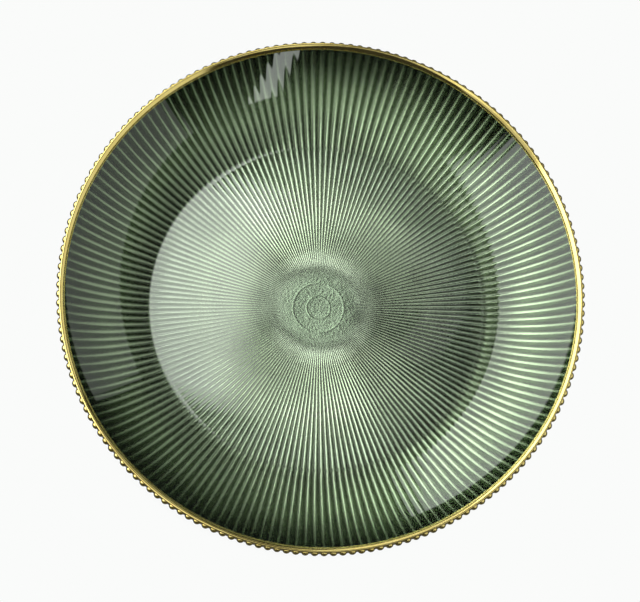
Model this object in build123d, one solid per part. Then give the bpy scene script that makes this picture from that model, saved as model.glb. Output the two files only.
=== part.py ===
from build123d import *
import math
import os

# Fluted coupe plate: clear pressed glass with a green metallic back, a gilt band on the lip and
# gilt beads round the outer edge. Millimetres. Z is up; the origin is on the table under the
# centre of the plate. Every piece is turned about the Z axis; the beads repeat round it.

os.makedirs("parts", exist_ok=True)

# ---- driving dimensions ---------------------------------------------------------------
FILM = 0.2                  # lacquer and gilding, modelled thicker than the real coatings
GLASS = 3.6                 # wall thickness, inside surface to underside

BASE_SLOPE = 4.15           # the domed base tips down by this much where the knee begins, degrees
KNEE_RADIUS = 16.7          # inside of the knee between base and wall
KNEE_CENTRE = 85.2          # distance of the knee's centre from the axis
FOOT_SLOPE = 14.7           # slope where the knee runs into the wall
WALL_RADIUS = 87.3          # inside of the wall, an arc in section
LIP_SLOPE = 46.5            # slope where the wall runs into the gilt band
BAND_SLOPE = 47.5           # the gilt band is a straight cone
RIDGE = 132.6               # radius where the band turns over into the outer edge
LIP_OUTER = 133.5           # plain outer edge of the glass, behind the beads
FLAT = 0.12                 # the lowest part of the knee is ground flat this deep: the standing ring
COAT_END = 130.4            # the lacquer reaches out to here on the underside

COUNT = 175                 # beads, one over the end of each reed
PITCH = 360 / COUNT         # degrees from one to the next
SECTOR = 14.4               # degrees of gilt band built at a time
BEAD_CENTRE = 132.8
BEAD_HEIGHT = 27.7
BEAD_RADIUS = 2.2           # over the gilding
BEADING_BOTTOM = 26.6       # between the beads the gilding reaches down to here
BEADING_GAP = 0.05          # hairline between the gilding of the edge and that of the band

MARK = 14.0                 # round mark pressed into the centre of the underside
MARK_PROUD = 0.1            # it stands below the surface around it by this much
MARK_RING = 6.0             # a fine ring pressed into the mark
MARK_RING_WIDTH = 0.8
MARK_RING_DEPTH = 0.15


def sin(degrees):
    return math.sin(math.radians(degrees))


def cos(degrees):
    return math.cos(math.radians(degrees))


def tan(degrees):
    return math.tan(math.radians(degrees))


# ---- lines of the section -------------------------------------------------------------
# Inside and underside are parallel: three arcs each, round the same centres, as (r, z).
KNEE_HEIGHT = FILM - FLAT + KNEE_RADIUS + GLASS
WALL_CENTRE = KNEE_CENTRE - (WALL_RADIUS - KNEE_RADIUS) * sin(FOOT_SLOPE)
WALL_HEIGHT = KNEE_HEIGHT + (WALL_RADIUS - KNEE_RADIUS) * cos(FOOT_SLOPE)
BASE_RADIUS = KNEE_CENTRE / sin(BASE_SLOPE) - KNEE_RADIUS
BASE_HEIGHT = KNEE_HEIGHT - (BASE_RADIUS + KNEE_RADIUS) * cos(BASE_SLOPE)


def knee_point(slope, depth=0.0):
    """Point of the knee, or of the surface that lies depth below it, at a slope."""
    reach = KNEE_RADIUS + depth
    return (KNEE_CENTRE + reach * sin(slope), KNEE_HEIGHT - reach * cos(slope))


def wall_point(slope, depth=0.0):
    reach = WALL_RADIUS + depth
    return (WALL_CENTRE + reach * sin(slope), WALL_HEIGHT - reach * cos(slope))


def dome(r, depth=0.0):
    """Height of the base over a radius."""
    return BASE_HEIGHT + math.sqrt((BASE_RADIUS - depth) ** 2 - r ** 2)


def wall_slope(r):
    """Slope of the underside of the wall at a radius."""
    return math.degrees(math.asin((r - WALL_CENTRE) / (WALL_RADIUS + GLASS)))


BASE_EDGE = knee_point(-BASE_SLOPE)
FOOT = knee_point(FOOT_SLOPE)
BAND_START = wall_point(LIP_SLOPE)
RIDGE_POINT = (RIDGE, BAND_START[1] + (RIDGE - BAND_START[0]) * tan(BAND_SLOPE))
RIDGE_ROUND = (LIP_OUTER - RIDGE) / (1 + sin(BAND_SLOPE))
RIDGE_TURN = 90 + BAND_SLOPE
SHOULDER_HEIGHT = RIDGE_POINT[1] - RIDGE_ROUND * cos(BAND_SLOPE)
FLAT_SLOPE = math.degrees(math.acos(1 - FLAT / (KNEE_RADIUS + GLASS)))
FLAT_OUTER = knee_point(FLAT_SLOPE, GLASS)[0]
FLAT_INNER = math.sqrt((BASE_RADIUS - GLASS) ** 2 - (FILM - BASE_HEIGHT) ** 2)
MARK_LEVEL = dome(MARK, GLASS) - MARK_PROUD
UNDERSIDE_END = wall_point(wall_slope(LIP_OUTER), GLASS)


def ridge_point(angle, offset=0.0):
    """Point on the rounded ridge, or offset above it; the angle counts up from straight out."""
    reach = RIDGE_ROUND + offset
    return (LIP_OUTER - RIDGE_ROUND + reach * cos(angle), SHOULDER_HEIGHT + reach * sin(angle))


def lowered(point, drop):
    return (point[0], point[1] - drop)


def underside(start, drop=0.0):
    """Draw the underside from a point of the wall in to the axis, lowered by drop."""
    def dropped_arc(*points):
        ThreePointArc(*[lowered(point, drop) for point in points])

    def dropped_line(*points):
        Polyline(*[lowered(point, drop) for point in points])

    first_slope = wall_slope(start[0])
    dropped_arc(start, wall_point((first_slope + FOOT_SLOPE) / 2, GLASS), knee_point(FOOT_SLOPE, GLASS))
    middle_slope = (FOOT_SLOPE + FLAT_SLOPE) / 2
    dropped_arc(knee_point(FOOT_SLOPE, GLASS), knee_point(middle_slope, GLASS), (FLAT_OUTER, FILM))
    dropped_line((FLAT_OUTER, FILM), (FLAT_INNER, FILM))
    middle = (FLAT_INNER + MARK) / 2
    dropped_arc((FLAT_INNER, FILM), (middle, dome(middle, GLASS)), (MARK, dome(MARK, GLASS)))
    ring_inner = MARK_RING - MARK_RING_WIDTH / 2
    ring_outer = MARK_RING + MARK_RING_WIDTH / 2
    dropped_line((MARK, dome(MARK, GLASS)), (MARK, MARK_LEVEL), (ring_outer, MARK_LEVEL))
    dropped_arc((ring_outer, MARK_LEVEL), (MARK_RING, MARK_LEVEL + MARK_RING_DEPTH),
                (ring_inner, MARK_LEVEL))
    dropped_line((ring_inner, MARK_LEVEL), (0, MARK_LEVEL))


def turned(draw, angle=360):
    """Solid turned about the Z axis from the closed section that draw() draws."""
    with BuildSketch(Plane.XZ) as section:
        with BuildLine():
            draw()
        make_face()
    return revolve(section.sketch, Axis.Z, angle)


def is_end(face):
    """True for the upright flat faces where one copy of a sector meets the next."""
    return face.geom_type == GeomType.PLANE and abs(face.normal_at().Z) < 0.5


def repeated(sector, angle):
    """Solid sewn from copies of a sector, one every so many degrees all the way round."""
    faces = [face for face in sector.faces() if not is_end(face)]
    places = PolarLocations(0, round(360 / angle))
    return Solid(Shell([place * face for place in places for face in faces]))


# ---- the pieces -----------------------------------------------------------------------
def glass_dish():
    """The pressed glass: domed base, knee, wall, lip and centre mark."""
    def draw():
        ThreePointArc((0, dome(0)), (50, dome(50)), BASE_EDGE)
        ThreePointArc(BASE_EDGE, knee_point((FOOT_SLOPE - BASE_SLOPE) / 2), FOOT)
        ThreePointArc(FOOT, wall_point((FOOT_SLOPE + LIP_SLOPE) / 2), BAND_START)
        Line(BAND_START, RIDGE_POINT)
        ThreePointArc(RIDGE_POINT, ridge_point(RIDGE_TURN / 2), ridge_point(0))
        Line(ridge_point(0), UNDERSIDE_END)
        underside(UNDERSIDE_END)
        Line((0, MARK_LEVEL), (0, dome(0)))

    return turned(draw)


def green_back_coat():
    """The lacquer on the back: the underside, carried straight down by the film's thickness."""
    start = wall_point(wall_slope(COAT_END), GLASS)

    def draw():
        underside(start)
        underside(start, FILM)
        Line(start, lowered(start, FILM))
        Line((0, MARK_LEVEL), (0, MARK_LEVEL - FILM))

    return turned(draw)


def gilt_rim_band():
    """The gold on the inside of the lip, carried over the rounded ridge, sewn from sectors."""
    inner = (BAND_START[0] - FILM * sin(BAND_SLOPE), BAND_START[1] + FILM * cos(BAND_SLOPE))

    def draw():
        Line(BAND_START, RIDGE_POINT)
        ThreePointArc(RIDGE_POINT, ridge_point(RIDGE_TURN / 2), ridge_point(0))
        Line(ridge_point(0), ridge_point(0, FILM))
        ThreePointArc(ridge_point(0, FILM), ridge_point(RIDGE_TURN / 2, FILM),
                      ridge_point(RIDGE_TURN, FILM))
        Polyline(ridge_point(RIDGE_TURN, FILM), inner, BAND_START)

    return repeated(turned(draw, SECTOR), SECTOR)


def gilt_bead_edging():
    """The gilt outer edge: a plain strip round the glass with a bead over the end of each reed."""
    def draw():
        outer = LIP_OUTER + FILM
        top = SHOULDER_HEIGHT - BEADING_GAP
        Polyline((LIP_OUTER, BEADING_BOTTOM), (outer, BEADING_BOTTOM), (outer, top),
                 (LIP_OUTER, top), (LIP_OUTER, BEADING_BOTTOM))

    strip = Rot(0, 0, -PITCH / 2) * turned(draw, PITCH)
    bead = Pos(BEAD_CENTRE, 0, BEAD_HEIGHT) * Rot(0, 0, 180) * Sphere(BEAD_RADIUS)
    return repeated(strip + bead - Cylinder(LIP_OUTER, 2 * RIDGE), PITCH)


for name, piece in {
    "glass_dish": glass_dish(),
    "green_back_coat": green_back_coat(),
    "gilt_rim_band": gilt_rim_band(),
    "gilt_bead_edging": gilt_bead_edging(),
}.items():
    export_step(piece, f"parts/{name}.step")
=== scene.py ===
import math

import bpy
import numpy as np
from mathutils import Matrix, Vector


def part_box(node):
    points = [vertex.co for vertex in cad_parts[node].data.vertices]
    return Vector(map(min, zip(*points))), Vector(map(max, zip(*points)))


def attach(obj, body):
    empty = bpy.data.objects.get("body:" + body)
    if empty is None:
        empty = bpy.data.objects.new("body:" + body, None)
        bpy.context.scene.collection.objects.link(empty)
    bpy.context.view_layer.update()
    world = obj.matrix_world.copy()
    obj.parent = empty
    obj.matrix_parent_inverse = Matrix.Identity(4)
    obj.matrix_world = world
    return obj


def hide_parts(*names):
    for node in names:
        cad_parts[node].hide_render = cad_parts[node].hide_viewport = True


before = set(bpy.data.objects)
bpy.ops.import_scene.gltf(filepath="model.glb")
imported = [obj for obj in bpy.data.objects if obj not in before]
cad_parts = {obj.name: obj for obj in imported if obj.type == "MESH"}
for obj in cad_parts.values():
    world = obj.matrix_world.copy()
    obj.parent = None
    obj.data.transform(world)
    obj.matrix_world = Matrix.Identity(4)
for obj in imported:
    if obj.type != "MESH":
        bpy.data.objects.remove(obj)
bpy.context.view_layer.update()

# A coupe plate of clear pressed glass on a pale floor. The glass is a real refracting body: smooth
# inside, radial reeds underneath. A green metallic lacquer lies against the reeds and is seen
# through the glass. The lip has a gilt band, the outer edge a row of gilt beads.
# Sizes are in metres. Azimuths start at +X and turn towards +Y.

MM = 0.001

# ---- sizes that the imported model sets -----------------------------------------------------
OUTER_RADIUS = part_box("gilt_bead_edging")[1].x
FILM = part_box("glass_dish")[0].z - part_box("green_back_coat")[0].z
LIP_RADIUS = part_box("gilt_rim_band")[1].x - FILM

# ---- sizes that are not in the boxes ------------------------------------------------------
COUNT = 175                     # reeds, and beads
HALF_PITCH = math.pi / COUNT
GLASS = 3.6 * MM                # wall thickness at a reed's crest
BASE_SLOPE = math.radians(4.15)
KNEE_RADIUS = 16.7 * MM
KNEE_CENTRE = 85.2 * MM
FOOT_SLOPE = math.radians(14.7)
WALL_RADIUS = 87.3 * MM
LIP_SLOPE = math.radians(46.5)
BAND_SLOPE = math.radians(47.5)
BAND_CROWN = math.radians(12)   # the gilt band turns by this much either side of its middle
RIDGE = LIP_RADIUS - 0.9 * MM
FLAT = 0.12 * MM                # ground off the lowest crests
BEAD_HEIGHT = 27.7 * MM
LACQUER_RADIUS = 133.3 * MM
CONTACT = 0.02 * MM             # the lacquer reaches this far into the glass, so no air is between
REED_DEPTH = 0.17               # share of the local pitch
REED_POWER = 1.5                # the reeds have a narrow rounded crest and nearly flat sides
REED_FADE = (14 * MM, 30 * MM)  # the reeds rise from nothing between these radii
RIPPLE = 0.012 * MM             # the reeds print through to the inside as a very low ripple
RIPPLE_FADE = (20 * MM, 60 * MM)
MARK_RADIUS = 14 * MM           # plain centre mark
MARK_PROUD = 0.1 * MM
MARK_RING = 6 * MM              # fine ring pressed into the mark
MARK_RING_WIDTH = 0.8 * MM
MARK_RING_DEPTH = 0.15 * MM
AXIS_HOLE = 0.5 * MM            # where the rows stop short of the axis; a flat fan closes the rest

# ---- section arcs, as in the CAD ----------------------------------------------------------
KNEE_HEIGHT = FILM - FLAT + KNEE_RADIUS + GLASS
WALL_CENTRE = KNEE_CENTRE - (WALL_RADIUS - KNEE_RADIUS) * math.sin(FOOT_SLOPE)
WALL_HEIGHT = KNEE_HEIGHT + (WALL_RADIUS - KNEE_RADIUS) * math.cos(FOOT_SLOPE)
BASE_RADIUS = KNEE_CENTRE / math.sin(BASE_SLOPE) - KNEE_RADIUS
BASE_HEIGHT = KNEE_HEIGHT - (BASE_RADIUS + KNEE_RADIUS) * math.cos(BASE_SLOPE)

# ---- mesh columns -------------------------------------------------------------------------
COLUMNS = 6                     # in one pitch
TOTAL = COUNT * COLUMNS
THIS = np.arange(TOTAL)
NEXT = np.roll(THIS, -1)
ANGLE = THIS / TOTAL * 2 * math.pi
PHASE = (THIS / COLUMNS + 0.5) % 1.0 - 0.5   # place across a reed
SHARE = np.abs(PHASE) * 2                    # 0 on a crest, 1 in a groove

# ---- looks --------------------------------------------------------------------------------
GLASS_IOR = 1.52
GLASS_COLOUR = (0.97, 0.99, 0.97)
GLASS_PASSES = (0.985, 0.995, 0.985)
# Painted reflection on the glass, drawn as a glow for camera rays: its colour, and the share of its
# brightness kept in that colour.
PAINTED_REFLECTION_COLOUR = (0.93, 1.0, 0.93)
PAINTED_REFLECTION_FAINT = 0.001             # share of the sheen's brightness that is kept in its colour
PEEL_ZONE = (13 * MM, 24 * MM)  # the orange peel fades out between these radii
PEEL_OUTSIDE = 0.12             # how much of it is left outside
PEEL_SCALE = 900
PEEL_DEPTH = 0.05 * MM
LACQUER_GRAIN = 0.18            # how much darker and lighter the flake makes it
LACQUER_ROUGHNESS = (0.16, 0.24)
# The lacquer's green by share of the plate's radius. Its steps lighter and darker, deepest on the
# wall, are painted shade.
LACQUER_AND_SHADE_TONES = [             # share of the plate's radius, colour
    (0.10, (0.47, 0.60, 0.42)),
    (0.17, (0.40, 0.48, 0.355)),
    (0.28, (0.47, 0.56, 0.41)),
    (0.42, (0.49, 0.58, 0.43)),
    (0.57, (0.37, 0.45, 0.33)),
    (0.66, (0.28, 0.35, 0.235)),
    (0.78, (0.28, 0.36, 0.23)),
    (0.90, (0.19, 0.25, 0.155)),
    (0.97, (0.13, 0.18, 0.10)),
]
FLAKE_SCALE = 2600
CLOUD_SCALE = 60
PEBBLE_SCALE = 800
PEBBLE_ZONE = (10 * MM, 26 * MM)
PEBBLE_DEPTH = 0.2 * MM
CENTRE_RINGS = (6 * MM, 13 * MM)
CENTRE_RING_WIDTH = 0.8 * MM
CENTRE_RING_SHARE = 0.4         # their height beside the pebbles' height
GOLD_DEEP = (0.72, 0.56, 0.15)
GOLD_LIGHT = (0.88, 0.76, 0.30)
GOLD_ROUGHNESS = (0.06, 0.16)
GOLD_CLOUD_SCALE = 120
GOLD_GRAIN_SCALE = 1800
GOLD_GRAIN_DEPTH = 0.03 * MM
BACKGROUND = (0.956, 0.965, 0.956)
UNDER_GLOW = 0.6                # light thrown up at the underside from the floor below it
FLOOR_GLOW = 0.1                # what reflections see of the floor elsewhere
# Painted shadow: how dark the camera sees the floor under the plate.
FLOOR_SHADE = 0.35              # how bright the camera sees it under the plate

# ---- camera -------------------------------------------------------------------------------
ELEVATION = math.radians(75.627)    # the camera above the horizon, looking along +Y
ROLL = math.radians(-13.633)        # the picture is turned by this much
VIEW = Vector((0, -math.cos(ELEVATION), math.sin(ELEVATION)))
DISTANCE = 27.68 * OUTER_RADIUS
LENS = 412.6
SHIFT = (-0.0016, -0.0065)

# ---- light --------------------------------------------------------------------------------
# Soft boxes of the room, in degrees to the left of the mirrored view and beyond it.
ROOM = 0.04
BOX_EDGE = 4
SOFT_BOXES = [
    {"left": (5, 20), "far": (-42, 45), "power": 2.1},
    {"left": (40, 65), "far": (-36, 45), "power": 3.6},
    {"left": (65, 92), "far": (-36, 45), "power": 2.3},
    {"left": (-94, -38), "far": (-42, 42), "power": 0.8},
    {"left": (-60, 60), "far": (45, 68), "power": 0.55},
    {"left": (-60, 60), "far": (-68, -42), "power": 0.95},
    {"left": (35, 92), "far": (-65, 85), "power": 0.6},
]
# Painted reflection on the glass: what its smooth inside is drawn to mirror straight to the camera,
# as a glow in its material. These panels, box, strip and patch light nothing.
PAINTED_ROOM_REFLECTION = 0.02
PANEL_X = -58 * MM              # upright face of the near panel
PANEL_Y = (-30 * MM, 145 * MM)
PANEL_Z = (36 * MM, 250 * MM)
PANEL_EDGE = 8 * MM
PANEL_FADE = (-30 * MM, -72 * MM)   # its level top face grows to full strength between these
STEEP = (0.89, 0.92)            # rays whose height is past this meet the level face
UPRIGHT_POWER = 3.3
LEVEL_POWER = 6.0
SIDE_BEARING = (-27, 50)        # side box, in degrees
SIDE_ELEVATION = (-3, 40.5)
SIDE_EDGE = 2
SIDE_POWER = 0.9
STRIP_AXIS = (-0.890, -0.359, 0.282)    # square to the leaning strip
STRIP_WIDTH = 6                 # degrees
STRIP_EDGE = 1
STRIP_ELEVATION = (12, 43)
STRIP_POWER = 4.5
PATCH_X = (0.095, 0.135)        # small patch overhead, as parts of a ray's direction
PATCH_Y = (0.27, 0.32)
PATCH_EDGE = 0.006
PATCH_POWER = 1.0


# ---- rows: points (r, z) of a section with their directions (dr, dz) ----------------------
def arc(centre, radius, start, end, rows):
    """Rows (r, z, dr, dz) of an arc whose points lie under its centre; angles are slopes."""
    angle = np.linspace(start, end, rows)
    sine, cosine = np.sin(angle), np.cos(angle)
    side = math.copysign(1.0, end - start)
    return np.stack([centre[0] + radius * sine, centre[1] - radius * cosine,
                     side * cosine, side * sine], axis=1)


def line(start, end):
    start, end = np.array(start), np.array(end)
    direction = (end - start) / np.linalg.norm(end - start)
    return np.hstack([[start, end], [direction, direction]])


def dome_arc(radius, start, end, rows):
    """Rows of the domed base, whose centre of curvature is far below; start and end are radii."""
    r = np.linspace(start, end, rows)
    z = BASE_HEIGHT + np.sqrt(radius ** 2 - r ** 2)
    tangent = np.stack([z - BASE_HEIGHT, -r], axis=1) / radius * math.copysign(1.0, end - start)
    return np.hstack([r[:, None], z[:, None], tangent])


def inside_rows():
    """Smooth inside of the glass, from the centre to the outer edge, in smooth stretches."""
    base = dome_arc(BASE_RADIUS, AXIS_HOLE, BASE_RADIUS * math.sin(BASE_SLOPE), 12)
    knee = arc((KNEE_CENTRE, KNEE_HEIGHT), KNEE_RADIUS, -BASE_SLOPE, FOOT_SLOPE, 7)
    wall = arc((WALL_CENTRE, WALL_HEIGHT), WALL_RADIUS, FOOT_SLOPE, LIP_SLOPE, 16)
    return np.vstack([base, knee[1:], wall[1:]])


def band_line():
    """Ends of the straight lip that carries the gilt band."""
    start = (WALL_CENTRE + WALL_RADIUS * math.sin(LIP_SLOPE),
             WALL_HEIGHT - WALL_RADIUS * math.cos(LIP_SLOPE))
    end = (RIDGE, start[1] + (RIDGE - start[0]) * math.tan(BAND_SLOPE))
    return start, end


def ridge_rows(offset=0.0):
    """Rounded ridge, from the end of the band over to the outer edge."""
    radius = (LIP_RADIUS - RIDGE) / (1 + math.sin(BAND_SLOPE))
    shoulder = band_line()[1][1] - radius * math.cos(BAND_SLOPE)
    angle = np.linspace(math.pi / 2 + BAND_SLOPE, 0, 9)
    reach = radius + offset
    return np.stack([LIP_RADIUS - radius + reach * np.cos(angle), shoulder + reach * np.sin(angle),
                     np.sin(angle), -np.cos(angle)], axis=1)


def underside_rows(outer):
    """Crest line of the underside, from a radius on the wall in to the centre mark."""
    wall_reach, knee_reach = WALL_RADIUS + GLASS, KNEE_RADIUS + GLASS
    base_reach = BASE_RADIUS - GLASS
    start = math.asin((outer - WALL_CENTRE) / wall_reach)
    wall = arc((WALL_CENTRE, WALL_HEIGHT), wall_reach, start, FOOT_SLOPE, 18)
    knee = arc((KNEE_CENTRE, KNEE_HEIGHT), knee_reach, FOOT_SLOPE, -BASE_SLOPE, 8)
    base = dome_arc(base_reach, base_reach * math.sin(BASE_SLOPE), MARK_RADIUS, 13)
    return np.vstack([wall, knee[1:], base[1:]])


def faded(rows, zone):
    """0 inside the first radius of a zone, 1 outside its second, at each row."""
    return np.clip((rows[:, 0] - zone[0]) / (zone[1] - zone[0]), 0, 1)


def reed_depth(rows):
    """How far the grooves between the reeds reach up, at each row."""
    steepness = np.abs(rows[:, 2])
    return REED_DEPTH * 2 * HALF_PITCH * rows[:, 0] * faded(rows, REED_FADE) / steepness


def mark_rows():
    """Centre mark on the underside: flat, with a fine pressed ring."""
    r = MARK_RING + MARK_RING_WIDTH * np.array([-1, -0.5, -0.25, 0, 0.25, 0.5, 1])[::-1]
    share = np.clip((r - MARK_RING) / (MARK_RING_WIDTH / 2), -1, 1)
    level = underside_rows(LIP_RADIUS)[-1, 1] - MARK_PROUD
    slope = np.where(np.abs(share) < 1, -4 * share / MARK_RING_WIDTH * MARK_RING_DEPTH, 0)
    size = np.hypot(1, slope)
    ring = np.stack([r, level + (1 - share ** 2) * MARK_RING_DEPTH, -1 / size, -slope / size], axis=1)
    edge = np.array([[MARK_RADIUS, level, -1, 0]])
    middle = np.array([[AXIS_HOLE, level, -1, 0]])
    return np.vstack([edge, ring, middle])


# ---- meshes from rows ---------------------------------------------------------------------
# A surface is a list of stretches that follow on from each other and share their end points. A
# stretch is (rows, depth, ripple, floor): rows (r, z, dr, dz), the reed depth at each row, the
# height of the low ripple that the reeds print through to the smooth side, and a level that
# nothing reaches below.
def wavy(rows, depth=0.0, ripple=0.0, floor=0.0):
    """A stretch, with depth and ripple given once or row by row."""
    return rows, np.zeros(len(rows)) + depth, np.zeros(len(rows)) + ripple, floor


def reverse(stretches):
    """The same surface drawn from its other end."""
    return [(rows[::-1] * [1, 1, -1, -1], depth[::-1], ripple[::-1], floor)
            for rows, depth, ripple, floor in stretches[::-1]]


def moved(stretches, height):
    """The same surface, higher up."""
    return [(rows + [0, height, 0, 0], depth, ripple, floor + height)
            for rows, depth, ripple, floor in stretches]


def stretch_surface(rows, depth, ripple, floor):
    """Points of a stretch, row by row, and their normals in the faces after and before them."""
    cosine, sine = np.cos(ANGLE), np.sin(ANGLE)
    r, z, dr, dz = [column[:, None] for column in rows.T]
    length = np.append(0, np.cumsum(np.hypot(*np.diff(rows[:, :2], axis=0).T)))
    growth = np.gradient(depth, length)[:, None]
    depth, ripple = depth[:, None], ripple[:, None]
    height = z + depth * SHARE ** REED_POWER + ripple * np.cos(COUNT * ANGLE)
    grid = np.stack([r * cosine, r * sine, np.maximum(height, floor)], axis=2)
    along = np.stack([dr * cosine, dr * sine, dz + growth * SHARE ** REED_POWER], axis=2)

    def normal(cusp_side):
        """Normals of the grid; a cusp is seen from the reed before it (+1) or after it (-1)."""
        signed = np.where(SHARE > 1 - 1e-9, cusp_side, 2 * PHASE)
        steep = np.sign(signed) * np.abs(signed) ** (REED_POWER - 1)
        lift = REED_POWER * depth * steep / HALF_PITCH - ripple * COUNT * np.sin(COUNT * ANGLE)
        around = np.stack([-r * sine + 0 * lift, r * cosine + 0 * lift, lift], axis=2)
        cross = np.cross(along, around)
        cross[height < floor] = (0, 0, np.sign(dr[0, 0]))
        return cross / np.linalg.norm(cross, axis=2, keepdims=True)

    return grid, normal(-1), np.roll(normal(1), -1, axis=1)


def closed_at_axis(points, quads, normals):
    """The surface with a flat fan of triangles inside its first row and inside its last row."""
    last = len(points) - TOTAL
    middle = np.full(TOTAL, len(points))
    top = np.stack([middle, THIS, NEXT], axis=1)
    bottom = np.stack([middle + 1, last + NEXT, last + THIS], axis=1)
    middles = [points[:TOTAL].mean(axis=0), points[last:].mean(axis=0)]
    flat = np.repeat([[0, 0, 1], [0, 0, -1]], 3 * TOTAL, axis=0)
    polygons = quads.tolist() + top.tolist() + bottom.tolist()
    return np.vstack([points, middles]), polygons, np.vstack([normals, flat])


def new_piece(name, points, polygons, normals):
    mesh = bpy.data.meshes.new(name)
    mesh.from_pydata(points.tolist(), [], polygons)
    mesh.normals_split_custom_set(normals.tolist())
    piece = bpy.data.objects.new(name, mesh)
    bpy.context.scene.collection.objects.link(piece)
    return piece


def turned_mesh(name, stretches, looped=False):
    """Object turned from stretches, with normals that are smooth within each stretch.

    In section it is a loop, or it starts and ends at the axis.
    """
    points, quads, normals = [], [], []
    first = 0
    for stretch in stretches:
        grid, after, before = stretch_surface(*stretch)
        points.append(grid[min(first, 1):].reshape(-1, 3))
        row = max(first - 1, 0) + np.arange(len(grid) - 1)[:, None]
        corners = [row * TOTAL + THIS, (row + 1) * TOTAL + THIS,
                   (row + 1) * TOTAL + NEXT, row * TOTAL + NEXT]
        quads.append(np.stack(corners, axis=2).reshape(-1, 4))
        sides = [after[:-1], after[1:], before[1:], before[:-1]]
        normals.append(np.stack(sides, axis=2).reshape(-1, 3))
        first = row[-1, 0] + 2
    points, quads, normals = np.vstack(points), np.vstack(quads), np.vstack(normals)
    if not looped:
        return new_piece(name, *closed_at_axis(points, quads, normals))
    points = points[:-TOTAL]
    return new_piece(name, points, (quads % len(points)).tolist(), normals)


# ---- pieces -------------------------------------------------------------------------------
def underside(outer):
    """The reeded underside, from a radius on the wall in to the centre: reeds, step, mark."""
    rows = underside_rows(outer)
    mark = mark_rows()
    step = line(rows[-1, :2], mark[0, :2])
    return [wavy(rows, reed_depth(rows), floor=FILM), wavy(step), wavy(mark)]


def glass_body():
    """The clear glass: smooth inside, rounded ridge, plain edge, reeded underside."""
    inside = inside_rows()
    ripple = RIPPLE * faded(inside, RIPPLE_FADE)
    band = line(*band_line())
    ridge = ridge_rows()
    under = underside(LIP_RADIUS)
    edge = line(ridge[-1, :2], under[0][0][0, :2])
    edge_depth = np.array([0.0, under[0][1][0]])
    stretches = [wavy(inside, 0.0, ripple), wavy(band, 0.0, np.array([ripple[-1], 0.0])),
                 wavy(ridge), wavy(edge, edge_depth)] + under
    return turned_mesh("glass_body", stretches)


def lacquer_back():
    """The film on the reeds: its upper face just inside the glass, its lower face outside."""
    under = underside(LACQUER_RADIUS)
    upper = reverse(moved(under, CONTACT))
    lower = moved(under, -FILM)
    edge = line(upper[-1][0][-1, :2], lower[0][0][0, :2])
    stretches = upper + [wavy(edge, lower[0][1][0])] + lower
    return turned_mesh("lacquer_back", stretches)


def crowned_line(start, end):
    """Rows of a line that bulges a little in the middle."""
    share = np.linspace(0, 1, 7)[:, None]
    tilt = BAND_CROWN * (1 - 2 * share)
    across = end - start
    length = np.hypot(*across)
    along = across / length
    outward = np.array([-along[1], along[0]])
    points = start + across * share + outward * length * BAND_CROWN * share * (1 - share)
    return np.hstack([points, along + outward * tilt])


def gold_band():
    """The gilding on the inside of the lip and over the ridge: outside face, then inside face."""
    start, end = band_line()
    away = np.array([-math.sin(BAND_SLOPE), math.cos(BAND_SLOPE)]) * FILM
    face = crowned_line(start + away, end + away)
    over = ridge_rows(FILM)
    back = ridge_rows()[::-1] * [1, 1, -1, -1]
    stretches = [face, over, line(over[-1, :2], back[0, :2]), back, line(end, start),
                 line(start, face[0, :2])]
    return turned_mesh("gold_band", [wavy(rows) for rows in stretches], looped=True)


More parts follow.
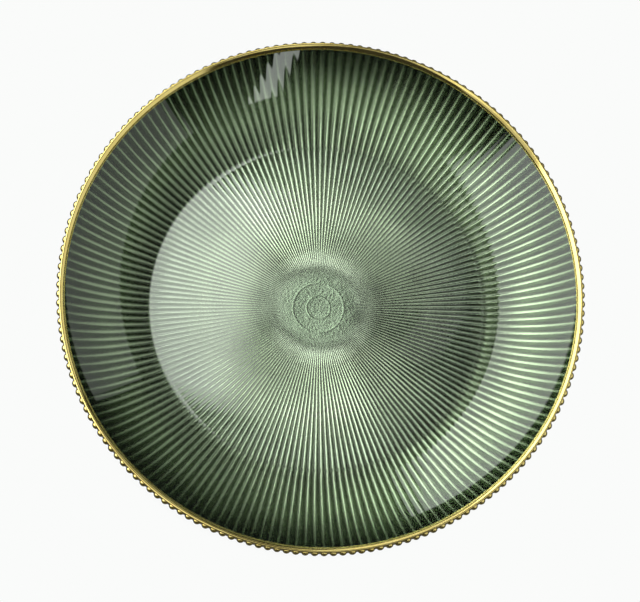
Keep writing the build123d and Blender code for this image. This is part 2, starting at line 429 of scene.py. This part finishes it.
# ---- material helpers ---------------------------------------------------------------------
class Graph:
    """Small helper to write a node tree as expressions."""

    def __init__(self, tree):
        self.tree = tree
        tree.nodes.clear()

    def set(self, node, key, value):
        socket = node.inputs[key]
        if isinstance(value, bpy.types.NodeSocket):
            self.tree.links.new(value, socket)
        else:
            socket.default_value = value

    def add(self, kind, **inputs):
        node = self.tree.nodes.new(kind)
        for key, value in inputs.items():
            self.set(node, key.replace("_", " "), value)
        return node

    def chain(self, kind, operation, values):
        """New math node of a kind with its values in order."""
        node = self.tree.nodes.new(kind)
        node.operation = operation
        for index, value in enumerate(values):
            self.set(node, index, value)
        return node

    def math(self, operation, *values):
        return self.chain("ShaderNodeMath", operation, values).outputs[0]

    def vector(self, operation, *values, output="Vector"):
        return self.chain("ShaderNodeVectorMath", operation, values).outputs[output]

    def dot(self, first, second):
        return self.vector("DOT_PRODUCT", first, second, output="Value")

    def scaled(self, vector, factor):
        node = self.chain("ShaderNodeVectorMath", "SCALE", [vector])
        self.set(node, "Scale", factor)
        return node.outputs["Vector"]

    def product(self, *factors):
        result = factors[0]
        for factor in factors[1:]:
            result = self.math("MULTIPLY", result, factor)
        return result

    def total(self, *terms):
        result = terms[0]
        for term in terms[1:]:
            result = self.math("ADD", result, term)
        return result

    def degrees(self, radians):
        return self.math("MULTIPLY", radians, 180 / math.pi)

    def smooth(self, value, low, high, to_low=0.0, to_high=1.0):
        node = self.add("ShaderNodeMapRange", Value=value, From_Min=low, From_Max=high,
                        To_Min=to_low, To_Max=to_high)
        node.interpolation_type = "SMOOTHSTEP"
        return node.outputs["Result"]

    def window(self, value, low, high, edge):
        """1 between low and high, fading out over edge."""
        rise = self.smooth(value, low - edge / 2, low + edge / 2)
        return self.math("MULTIPLY", rise, self.smooth(value, high - edge / 2, high + edge / 2, 1, 0))

    def between(self, share, values):
        """The first value where share is 0, the second where it is 1."""
        return self.math("MULTIPLY_ADD", share, values[1] - values[0], values[0])

    def noise(self, vector, scale, detail=2.0, roughness=0.5):
        node = self.add("ShaderNodeTexNoise", Vector=vector, Scale=scale, Detail=detail,
                        Roughness=roughness)
        return node.outputs["Fac"]

    def blend(self, factor, first, second):
        node = self.tree.nodes.new("ShaderNodeMix")
        node.data_type = "RGBA"
        self.tree.links.new(factor, node.inputs["Factor"])
        sockets = [socket for socket in node.inputs if socket.type == "RGBA"]
        for socket, colour in zip(sockets, (first, second)):
            socket.default_value = (*colour, 1)
        return [socket for socket in node.outputs if socket.type == "RGBA"][0]

    def ramp(self, value, stops):
        node = self.add("ShaderNodeValToRGB", Fac=value)
        elements = node.color_ramp.elements
        while len(elements) < len(stops):
            elements.new(1.0)
        for element, (place, colour) in zip(elements, stops):
            element.position = place
            element.color = (*colour, 1)
        return node.outputs["Color"]

    def bump(self, height, strength, distance):
        node = self.add("ShaderNodeBump", Height=height, Strength=strength, Distance=distance)
        return node.outputs["Normal"]

    def emission(self, colour, strength):
        return self.add("ShaderNodeEmission", Color=(*colour, 1), Strength=strength).outputs[0]

    def mix_shader(self, share, first, second):
        node = self.tree.nodes.new("ShaderNodeMixShader")
        for index, value in enumerate((share, first, second)):
            self.set(node, index, value)
        return node.outputs[0]

    def camera_ray(self):
        return self.add("ShaderNodeLightPath").outputs["Is Camera Ray"]

    def point(self):
        return self.add("ShaderNodeTexCoord").outputs["Object"]

    def radius(self, point):
        """Distance from the plate's axis."""
        return self.vector("LENGTH", self.vector("MULTIPLY", point, (1, 1, 0)), output="Value")


def new_material(name):
    material = bpy.data.materials.new(name)
    material.use_nodes = True
    return material, Graph(material.node_tree)


def finish(g, shader, kind="ShaderNodeOutputMaterial"):
    output = g.add(kind)
    g.tree.links.new(shader, output.inputs["Surface"])


# ---- materials ----------------------------------------------------------------------------
def painted_studio_reflection(g):
    """Strength of the painted reflection of a near panel, a side box, a strip and a small patch.

    The near panel has an upright face and a level one above it, both reaching to the left.
    """
    geometry = g.add("ShaderNodeNewGeometry").outputs
    ray = g.vector("REFLECT", g.scaled(geometry["Incoming"], -1.0), geometry["Normal"])
    start = g.add("ShaderNodeSeparateXYZ", Vector=geometry["Position"]).outputs
    aim = g.add("ShaderNodeSeparateXYZ", Vector=ray).outputs
    steep = g.smooth(aim["Z"], *STEEP)

    def reached(axis, level):
        """Where the ray crosses a plane square to an axis, and whether it does so ahead."""
        run = g.math("DIVIDE", g.math("SUBTRACT", level, start[axis]), aim[axis])
        ahead = g.math("GREATER_THAN", run, 0.0)
        return [g.math("MULTIPLY_ADD", run, aim[name], start[name]) for name in "XYZ"], ahead

    (_, y, z), ahead = reached("X", PANEL_X)
    upright = g.product(g.window(y, *PANEL_Y, PANEL_EDGE), g.window(z, *PANEL_Z, PANEL_EDGE), ahead,
                        g.math("LESS_THAN", aim["X"], 0.0), g.math("SUBTRACT", 1.0, steep),
                        UPRIGHT_POWER)
    (x, y, _), ahead = reached("Z", PANEL_Z[1])
    level = g.product(g.smooth(x, *PANEL_FADE), g.window(y, *PANEL_Y, PANEL_EDGE), ahead, steep,
                      LEVEL_POWER)
    bearing = g.degrees(g.math("ARCTAN2", aim["Y"], aim["X"]))
    elevation = g.degrees(g.math("ARCSINE", aim["Z"]))
    side = g.product(g.window(bearing, *SIDE_BEARING, SIDE_EDGE),
                     g.window(elevation, *SIDE_ELEVATION, SIDE_EDGE), SIDE_POWER)
    across = g.degrees(g.math("ARCSINE", g.dot(ray, STRIP_AXIS)))
    strip = g.product(g.window(across, -STRIP_WIDTH / 2, STRIP_WIDTH / 2, STRIP_EDGE),
                      g.window(elevation, *STRIP_ELEVATION, SIDE_EDGE),
                      g.math("LESS_THAN", aim["Y"], 0.0), STRIP_POWER)
    patch = g.product(g.window(aim["X"], *PATCH_X, PATCH_EDGE),
                      g.window(aim["Y"], *PATCH_Y, PATCH_EDGE),
                      g.math("GREATER_THAN", aim["Z"], 0.0), PATCH_POWER)
    return g.total(upright, level, side, strip, patch, PAINTED_ROOM_REFLECTION)


def clear_glass():
    """Clear pressed glass, fire-polished, with a faint orange peel in the centre.

    For camera rays a painted reflection is added as a glow: what the smooth face mirrors straight to
    the camera is worked out from the ray, not sampled, so the faint painted reflections of the soft
    boxes are free of noise.
    """
    material, g = new_material("clear_glass")
    point = g.point()
    centre = g.smooth(g.radius(point), *PEEL_ZONE, 1.0, PEEL_OUTSIDE)
    peel = g.math("MULTIPLY", g.noise(point, PEEL_SCALE), centre)
    normal = g.bump(peel, 0.35, PEEL_DEPTH)
    solid = g.add("ShaderNodeBsdfPrincipled", Base_Color=(*GLASS_COLOUR, 1), Roughness=0.0,
                  IOR=GLASS_IOR, Transmission_Weight=1.0, Normal=normal)
    share = g.add("ShaderNodeFresnel", IOR=GLASS_IOR, Normal=normal).outputs[0]
    passed = g.scaled(GLASS_PASSES, g.math("SUBTRACT", 1.0, share))
    through = g.add("ShaderNodeBsdfRefraction", Color=passed, Roughness=0.0, IOR=GLASS_IOR,
                    Normal=normal)
    # The painted reflection's brightness is all in the strength: a program that can't follow these
    # nodes reads only the colour, and must not take this painted reflection for a glow of the glass.
    # It may also read a plain number in the last product, so the number isn't there.
    faint = [channel * PAINTED_REFLECTION_FAINT for channel in PAINTED_REFLECTION_COLOUR]
    painted_reflection = g.emission(faint, g.product(share, 1 / PAINTED_REFLECTION_FAINT, painted_studio_reflection(g)))
    seen = g.add("ShaderNodeAddShader")
    g.set(seen, 0, through.outputs[0])
    g.set(seen, 1, painted_reflection)
    finish(g, g.mix_shader(g.camera_ray(), solid.outputs[0], seen.outputs[0]))
    return material


def pearl_lacquer():
    """Green metallic lacquer with fine pearl flake; its green is lighter in the middle and darker on
    the wall, and these steps with the radius are painted shade.
    """
    material, g = new_material("pearl_lacquer")
    point = g.point()
    radius = g.radius(point)
    # Painted shade: the green steps lighter and darker with the radius.
    tone = g.ramp(g.math("DIVIDE", radius, OUTER_RADIUS), LACQUER_AND_SHADE_TONES)
    flake = g.noise(point, FLAKE_SCALE, 1.0)
    cloud = g.noise(point, CLOUD_SCALE, 3.0)
    grain = g.math("ADD", g.math("MULTIPLY", flake, 0.6), g.math("MULTIPLY", cloud, 0.4))
    shade = g.smooth(grain, 0.25, 0.75, 1 - LACQUER_GRAIN, 1 + LACQUER_GRAIN)
    pebble = g.math("MULTIPLY", g.noise(point, PEBBLE_SCALE, 3.0, 0.6),
                    g.smooth(radius, *PEBBLE_ZONE, 1.0, 0.0))
    half = CENTRE_RING_WIDTH / 2
    rings = [g.window(radius, ring - half, ring + half, CENTRE_RING_WIDTH) for ring in CENTRE_RINGS]
    relief = g.math("MULTIPLY_ADD", g.total(*rings), CENTRE_RING_SHARE, pebble)
    shader = g.add("ShaderNodeBsdfPrincipled", Base_Color=g.scaled(tone, shade), Metallic=1.0,
                   Roughness=g.between(flake, LACQUER_ROUGHNESS),
                   Normal=g.bump(relief, 1.0, PEBBLE_DEPTH))
    finish(g, shader.outputs[0])
    return material


def gilding():
    """Bright gold coating over slightly uneven glass, a little worn and cloudy in places."""
    material, g = new_material("gilding")
    point = g.point()
    cloud = g.noise(point, GOLD_CLOUD_SCALE, 3.0)
    grain = g.noise(point, GOLD_GRAIN_SCALE)
    shader = g.add("ShaderNodeBsdfPrincipled", Base_Color=g.blend(cloud, GOLD_DEEP, GOLD_LIGHT),
                   Roughness=g.between(cloud, GOLD_ROUGHNESS), Metallic=1.0,
                   Normal=g.bump(grain, 0.25, GOLD_GRAIN_DEPTH))
    finish(g, shader.outputs[0])
    return material


def pale_floor():
    """Plain pale floor, with a painted shadow where the plate stands on it; it is not there when seen
    from below.
    """
    material, g = new_material("pale_floor")
    radius = g.radius(g.point())
    under = (KNEE_CENTRE, LIP_RADIUS)
    # Painted shadow: the camera sees the floor darker under the plate.
    seen = g.emission(BACKGROUND, g.smooth(radius, *under, FLOOR_SHADE, 1.0))
    mirrored = g.emission(BACKGROUND, g.smooth(radius, *under, UNDER_GLOW, FLOOR_GLOW))
    top = g.mix_shader(g.camera_ray(), mirrored, seen)
    clear = g.add("ShaderNodeBsdfTransparent").outputs[0]
    below = g.add("ShaderNodeNewGeometry").outputs["Backfacing"]
    finish(g, g.mix_shader(below, top, clear))
    return material


def give(piece, material):
    piece.data.materials.clear()
    piece.data.materials.append(material)


# ---- stage --------------------------------------------------------------------------------
def studio():
    """Dim room with soft boxes, drawn by two angles of the ray from the mirrored view."""
    world = bpy.data.worlds.new("studio")
    bpy.context.scene.world = world
    world.use_nodes = True
    g = Graph(world.node_tree)
    direction = g.add("ShaderNodeTexCoord").outputs["Generated"]
    mirrored = (0, math.cos(ELEVATION), math.sin(ELEVATION))
    away = (0, math.sin(ELEVATION), -math.cos(ELEVATION))
    left = g.degrees(g.math("ARCTAN2", g.dot(direction, (-1, 0, 0)), g.dot(direction, mirrored)))
    far = g.degrees(g.math("ARCSINE", g.dot(direction, away)))
    lights = [g.product(g.window(left, *box["left"], BOX_EDGE), g.window(far, *box["far"], BOX_EDGE),
                        box["power"]) for box in SOFT_BOXES]
    room = g.add("ShaderNodeBackground", Color=(1, 1, 1, 1), Strength=g.total(*lights, ROOM))
    backdrop = g.add("ShaderNodeBackground", Color=(*BACKGROUND, 1), Strength=1.0)
    finish(g, g.mix_shader(g.camera_ray(), room.outputs[0], backdrop.outputs[0]),
           "ShaderNodeOutputWorld")


def camera():
    """Long lens from the front, high above the plate, with the picture turned a little."""
    lens = bpy.data.cameras.new("camera")
    lens.sensor_width = 36
    lens.lens = LENS
    lens.shift_x, lens.shift_y = SHIFT
    lens.clip_start = 0.1
    lens.clip_end = 20
    seat = bpy.data.objects.new("camera", lens)
    level_right = Vector((1, 0, 0))
    level_up = Vector((0, math.sin(ELEVATION), math.cos(ELEVATION)))
    right = level_right * math.cos(ROLL) - level_up * math.sin(ROLL)
    up = level_right * math.sin(ROLL) + level_up * math.cos(ROLL)
    turn = Matrix((right, up, VIEW)).transposed().to_4x4()
    place = Vector((0, 0, BEAD_HEIGHT)) + VIEW * DISTANCE
    seat.matrix_world = Matrix.Translation(place) @ turn
    bpy.context.scene.collection.objects.link(seat)
    bpy.context.scene.camera = seat


def floor():
    """Wide plain floor, a hair below the standing ring."""
    size = 3.0
    mesh = bpy.data.meshes.new("floor")
    corners = [(-size, -size, 0), (size, -size, 0), (size, size, 0), (-size, size, 0)]
    mesh.from_pydata(corners, [], [(0, 1, 2, 3)])
    piece = bpy.data.objects.new("floor", mesh)
    piece.location.z = -0.05 * MM
    bpy.context.scene.collection.objects.link(piece)
    piece.data.materials.append(pale_floor())


# ---- the plate on its stage ---------------------------------------------------------------
glass = glass_body()
lacquer = lacquer_back()
band = gold_band()
gold = gilding()
give(glass, clear_glass())
give(lacquer, pearl_lacquer())
give(band, gold)
for piece, node in ((glass, "glass_dish"), (lacquer, "green_back_coat"), (band, "gilt_rim_band")):
    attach(piece, "root")
    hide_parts(node)
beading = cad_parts["gilt_bead_edging"]
beading.data.materials.clear()
beading.data.materials.append(gold)

studio()
floor()
camera()
bpy.context.scene.view_settings.view_transform = "Standard"
bpy.context.view_layer.update()
